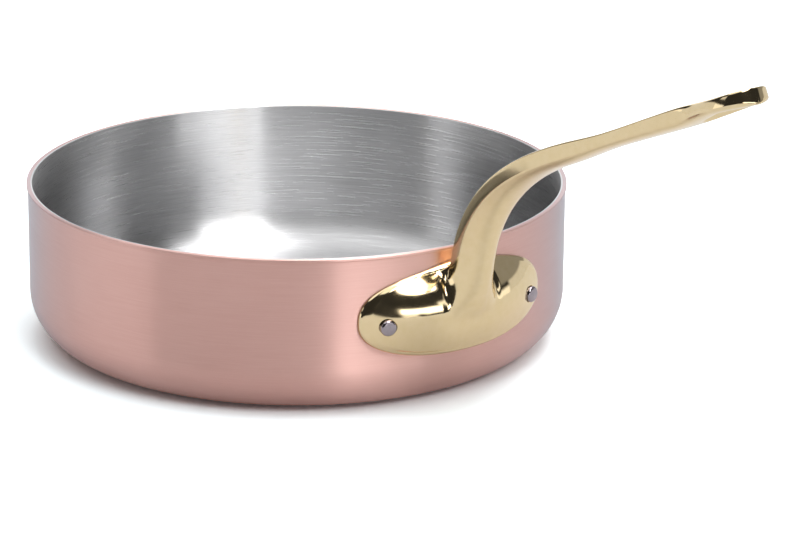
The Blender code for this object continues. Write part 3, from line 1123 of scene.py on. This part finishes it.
@dataclass
class Studio:
    """The camera, a plain pale floor and the soft light, before a plain white background.

    The camera sees the background alone. The part is lit by the cards, which its metals mirror:
    dark surroundings, a pale ceiling and soft boxes.
    """

    camera_bearing: float = 52.8
    camera_pitch: float = 18.163
    camera_roll: float = 0.5235
    camera_distance: float = 1.61625
    aim_right: float = 0.046188
    aim_height: float = 0.029477
    lens_mm: float = 162.0
    sensor_mm: float = 36.0
    floor_radius: float = 1.4
    floor_segments: int = 96
    floor_colour: str = "#CDCDCD"
    # What the camera sees of the floor: white beside the pan, and cooled against its pink glow
    floor_seen: tuple[float, float, float, float] = (1.24, 1.37, 1.41, 1.0)
    background: float = 1.0
    cards: tuple[StudioCard, ...] = (
        # The dark surroundings and the pale ceiling
        StudioCard(0.0, 360.0, -90.0, 46.0, 0.03),
        StudioCard(0.0, 360.0, 46.0, 134.0, 1.35),
        # The large box overhead and the pale wall behind the pan
        StudioCard(115.0, 190.0, 60.0, 134.0, 4.7),
        StudioCard(180.0, 60.0, -90.0, 46.0, 1.1),
        # On the left: the light side of the copper, and the light end of the grip
        StudioCard(-127.5, 45.0, -90.0, 9.0, 0.8),
        StudioCard(-82.5, 45.0, -90.0, 9.0, 1.25),
        StudioCard(-80.0, 34.0, 19.0, 29.0, 0.8),
        # On the right: the upright band beside the flange and the right side of the copper
        StudioCard(24.0, 12.0, -90.0, 9.0, 1.12),
        StudioCard(90.0, 30.0, -90.0, 4.0, 1.3),
        StudioCard(127.5, 45.0, -90.0, 9.0, 0.75),
        StudioCard(118.0, 50.0, 9.0, 46.0, 0.3),
        # Slim boxes on the right, for the flange's white bands and the steel's bright one
        StudioCard(36.75, 38.5, 3.0, 10.0, 3.8),
        StudioCard(68.0, 36.0, 10.0, 15.0, 1.5),
        StudioCard(36.0, 34.0, 34.0, 52.0, 7.0),
        # A dark card, for the flange's black patches
        StudioCard(88.0, 78.0, 46.0, 60.0, 0.03),
    )

    def build_camera(self) -> None:
        """Stand the camera where the photograph was taken from."""
        pitch = math.radians(self.camera_pitch)
        back = self.camera_distance * math.cos(pitch)
        up = self.camera_distance * math.sin(pitch)
        spot = Matrix.Translation((self.aim_right, -back, self.aim_height + up))
        data = bpy.data.cameras.new("camera")
        data.sensor_width = self.sensor_mm
        data.lens = self.lens_mm
        camera = bpy.data.objects.new("camera", data)
        camera.matrix_world = (Matrix.Rotation(math.radians(self.camera_bearing), 4, "Z") @ spot
                               @ Matrix.Rotation(math.pi / 2 - pitch, 4, "X")
                               @ Matrix.Rotation(math.radians(self.camera_roll), 4, "Z"))
        bpy.context.scene.collection.objects.link(camera)
        bpy.context.scene.camera = camera

    def build_floor(self) -> None:
        """Lay the pale round table top, which looks white where nothing shades it."""
        turns = [math.tau * step / self.floor_segments for step in range(self.floor_segments)]
        rim = [Vector((self.floor_radius * math.cos(turn), self.floor_radius * math.sin(turn),
                       0.0)) for turn in turns]
        floor = mesh_object("floor", rim, [tuple(range(self.floor_segments))])
        made = bpy.data.materials.new("pale_table_top")
        made.use_nodes = True
        tree = made.node_tree
        tree.nodes.clear()
        seen = add_node(tree, "LightPath").outputs["Is Camera Ray"]
        colour = add_node(tree, "Mix", {"data_type": "RGBA", 6: linear(self.floor_colour),
                                        7: self.floor_seen}, in0=seen).outputs[2]
        matt = add_node(tree, "BsdfDiffuse", color=colour)
        add_node(tree, "OutputMaterial", surface=matt)
        floor.data.materials.append(made)

    def build_light(self) -> None:
        """Hang the cards in every direction, and show the camera plain white instead."""
        world = bpy.data.worlds.new("studio")
        bpy.context.scene.world = world
        world.use_nodes = True
        tree = world.node_tree
        tree.nodes.clear()
        place = add_node(tree, "TexCoord").outputs["Generated"]
        facing = add_node(tree, "VectorRotate", {
            "rotation_type": "Z_AXIS", "Angle": -math.radians(self.camera_bearing)},
            vector=place)
        axes = add_node(tree, "SeparateXYZ", vector=facing).outputs
        toward = add_node(tree, "Math", {"operation": "MULTIPLY", 1: -1.0}, in0=axes[1])
        turn = add_node(tree, "Math", {"operation": "ARCTAN2"}, in0=axes[0], in1=toward)
        rise = add_node(tree, "Math", {"operation": "ARCSINE"}, in0=axes[2])
        bearing, elevation = (add_node(tree, "Math", {"operation": "DEGREES"}, in0=angle)
                              for angle in (turn, rise))
        total = add_node(tree, "Value")
        total.outputs[0].default_value = self.background
        for card in self.cards:
            total = card.hang(tree, total, bearing, elevation)
        white = linear("#FFFFFF")
        studio = add_node(tree, "Background", {"Color": white}, strength=total)
        plain = add_node(tree, "Background", {"Color": white})
        seen = add_node(tree, "LightPath").outputs["Is Camera Ray"]
        mixed = add_node(tree, "MixShader", in0=seen, in1=studio, in2=plain)
        add_node(tree, "OutputWorld", surface=mixed)

    def build(self) -> None:
        """Build the camera, the floor and the light."""
        self.build_camera()
        self.build_floor()
        self.build_light()
        bpy.context.scene.view_settings.view_transform = "Standard"
        LOG.info("studio: camera, floor and light")


def main() -> None:
    logging.basicConfig(level=logging.INFO, format="%(name)s: %(message)s")
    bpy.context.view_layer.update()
    body = PanBody()
    body.build()
    handle = CastHandle(wall_radius=body.wall_radius, rim_height=body.height)
    rivets = Rivets(
        wall_radius=body.wall_radius,
        inside_radius=body.bond_radius - body.lining_thickness,
        along=handle.flange_length / 2 - handle.rivet_from_end,
        height=handle.level - handle.rivet_below_middle,
        seat=body.wall_radius + handle.flange_end_edge + handle.rivet_seat_rise)
    handle.build(rivets)
    rivets.build()
    Studio().build()


if __name__ == "__main__":
    main()
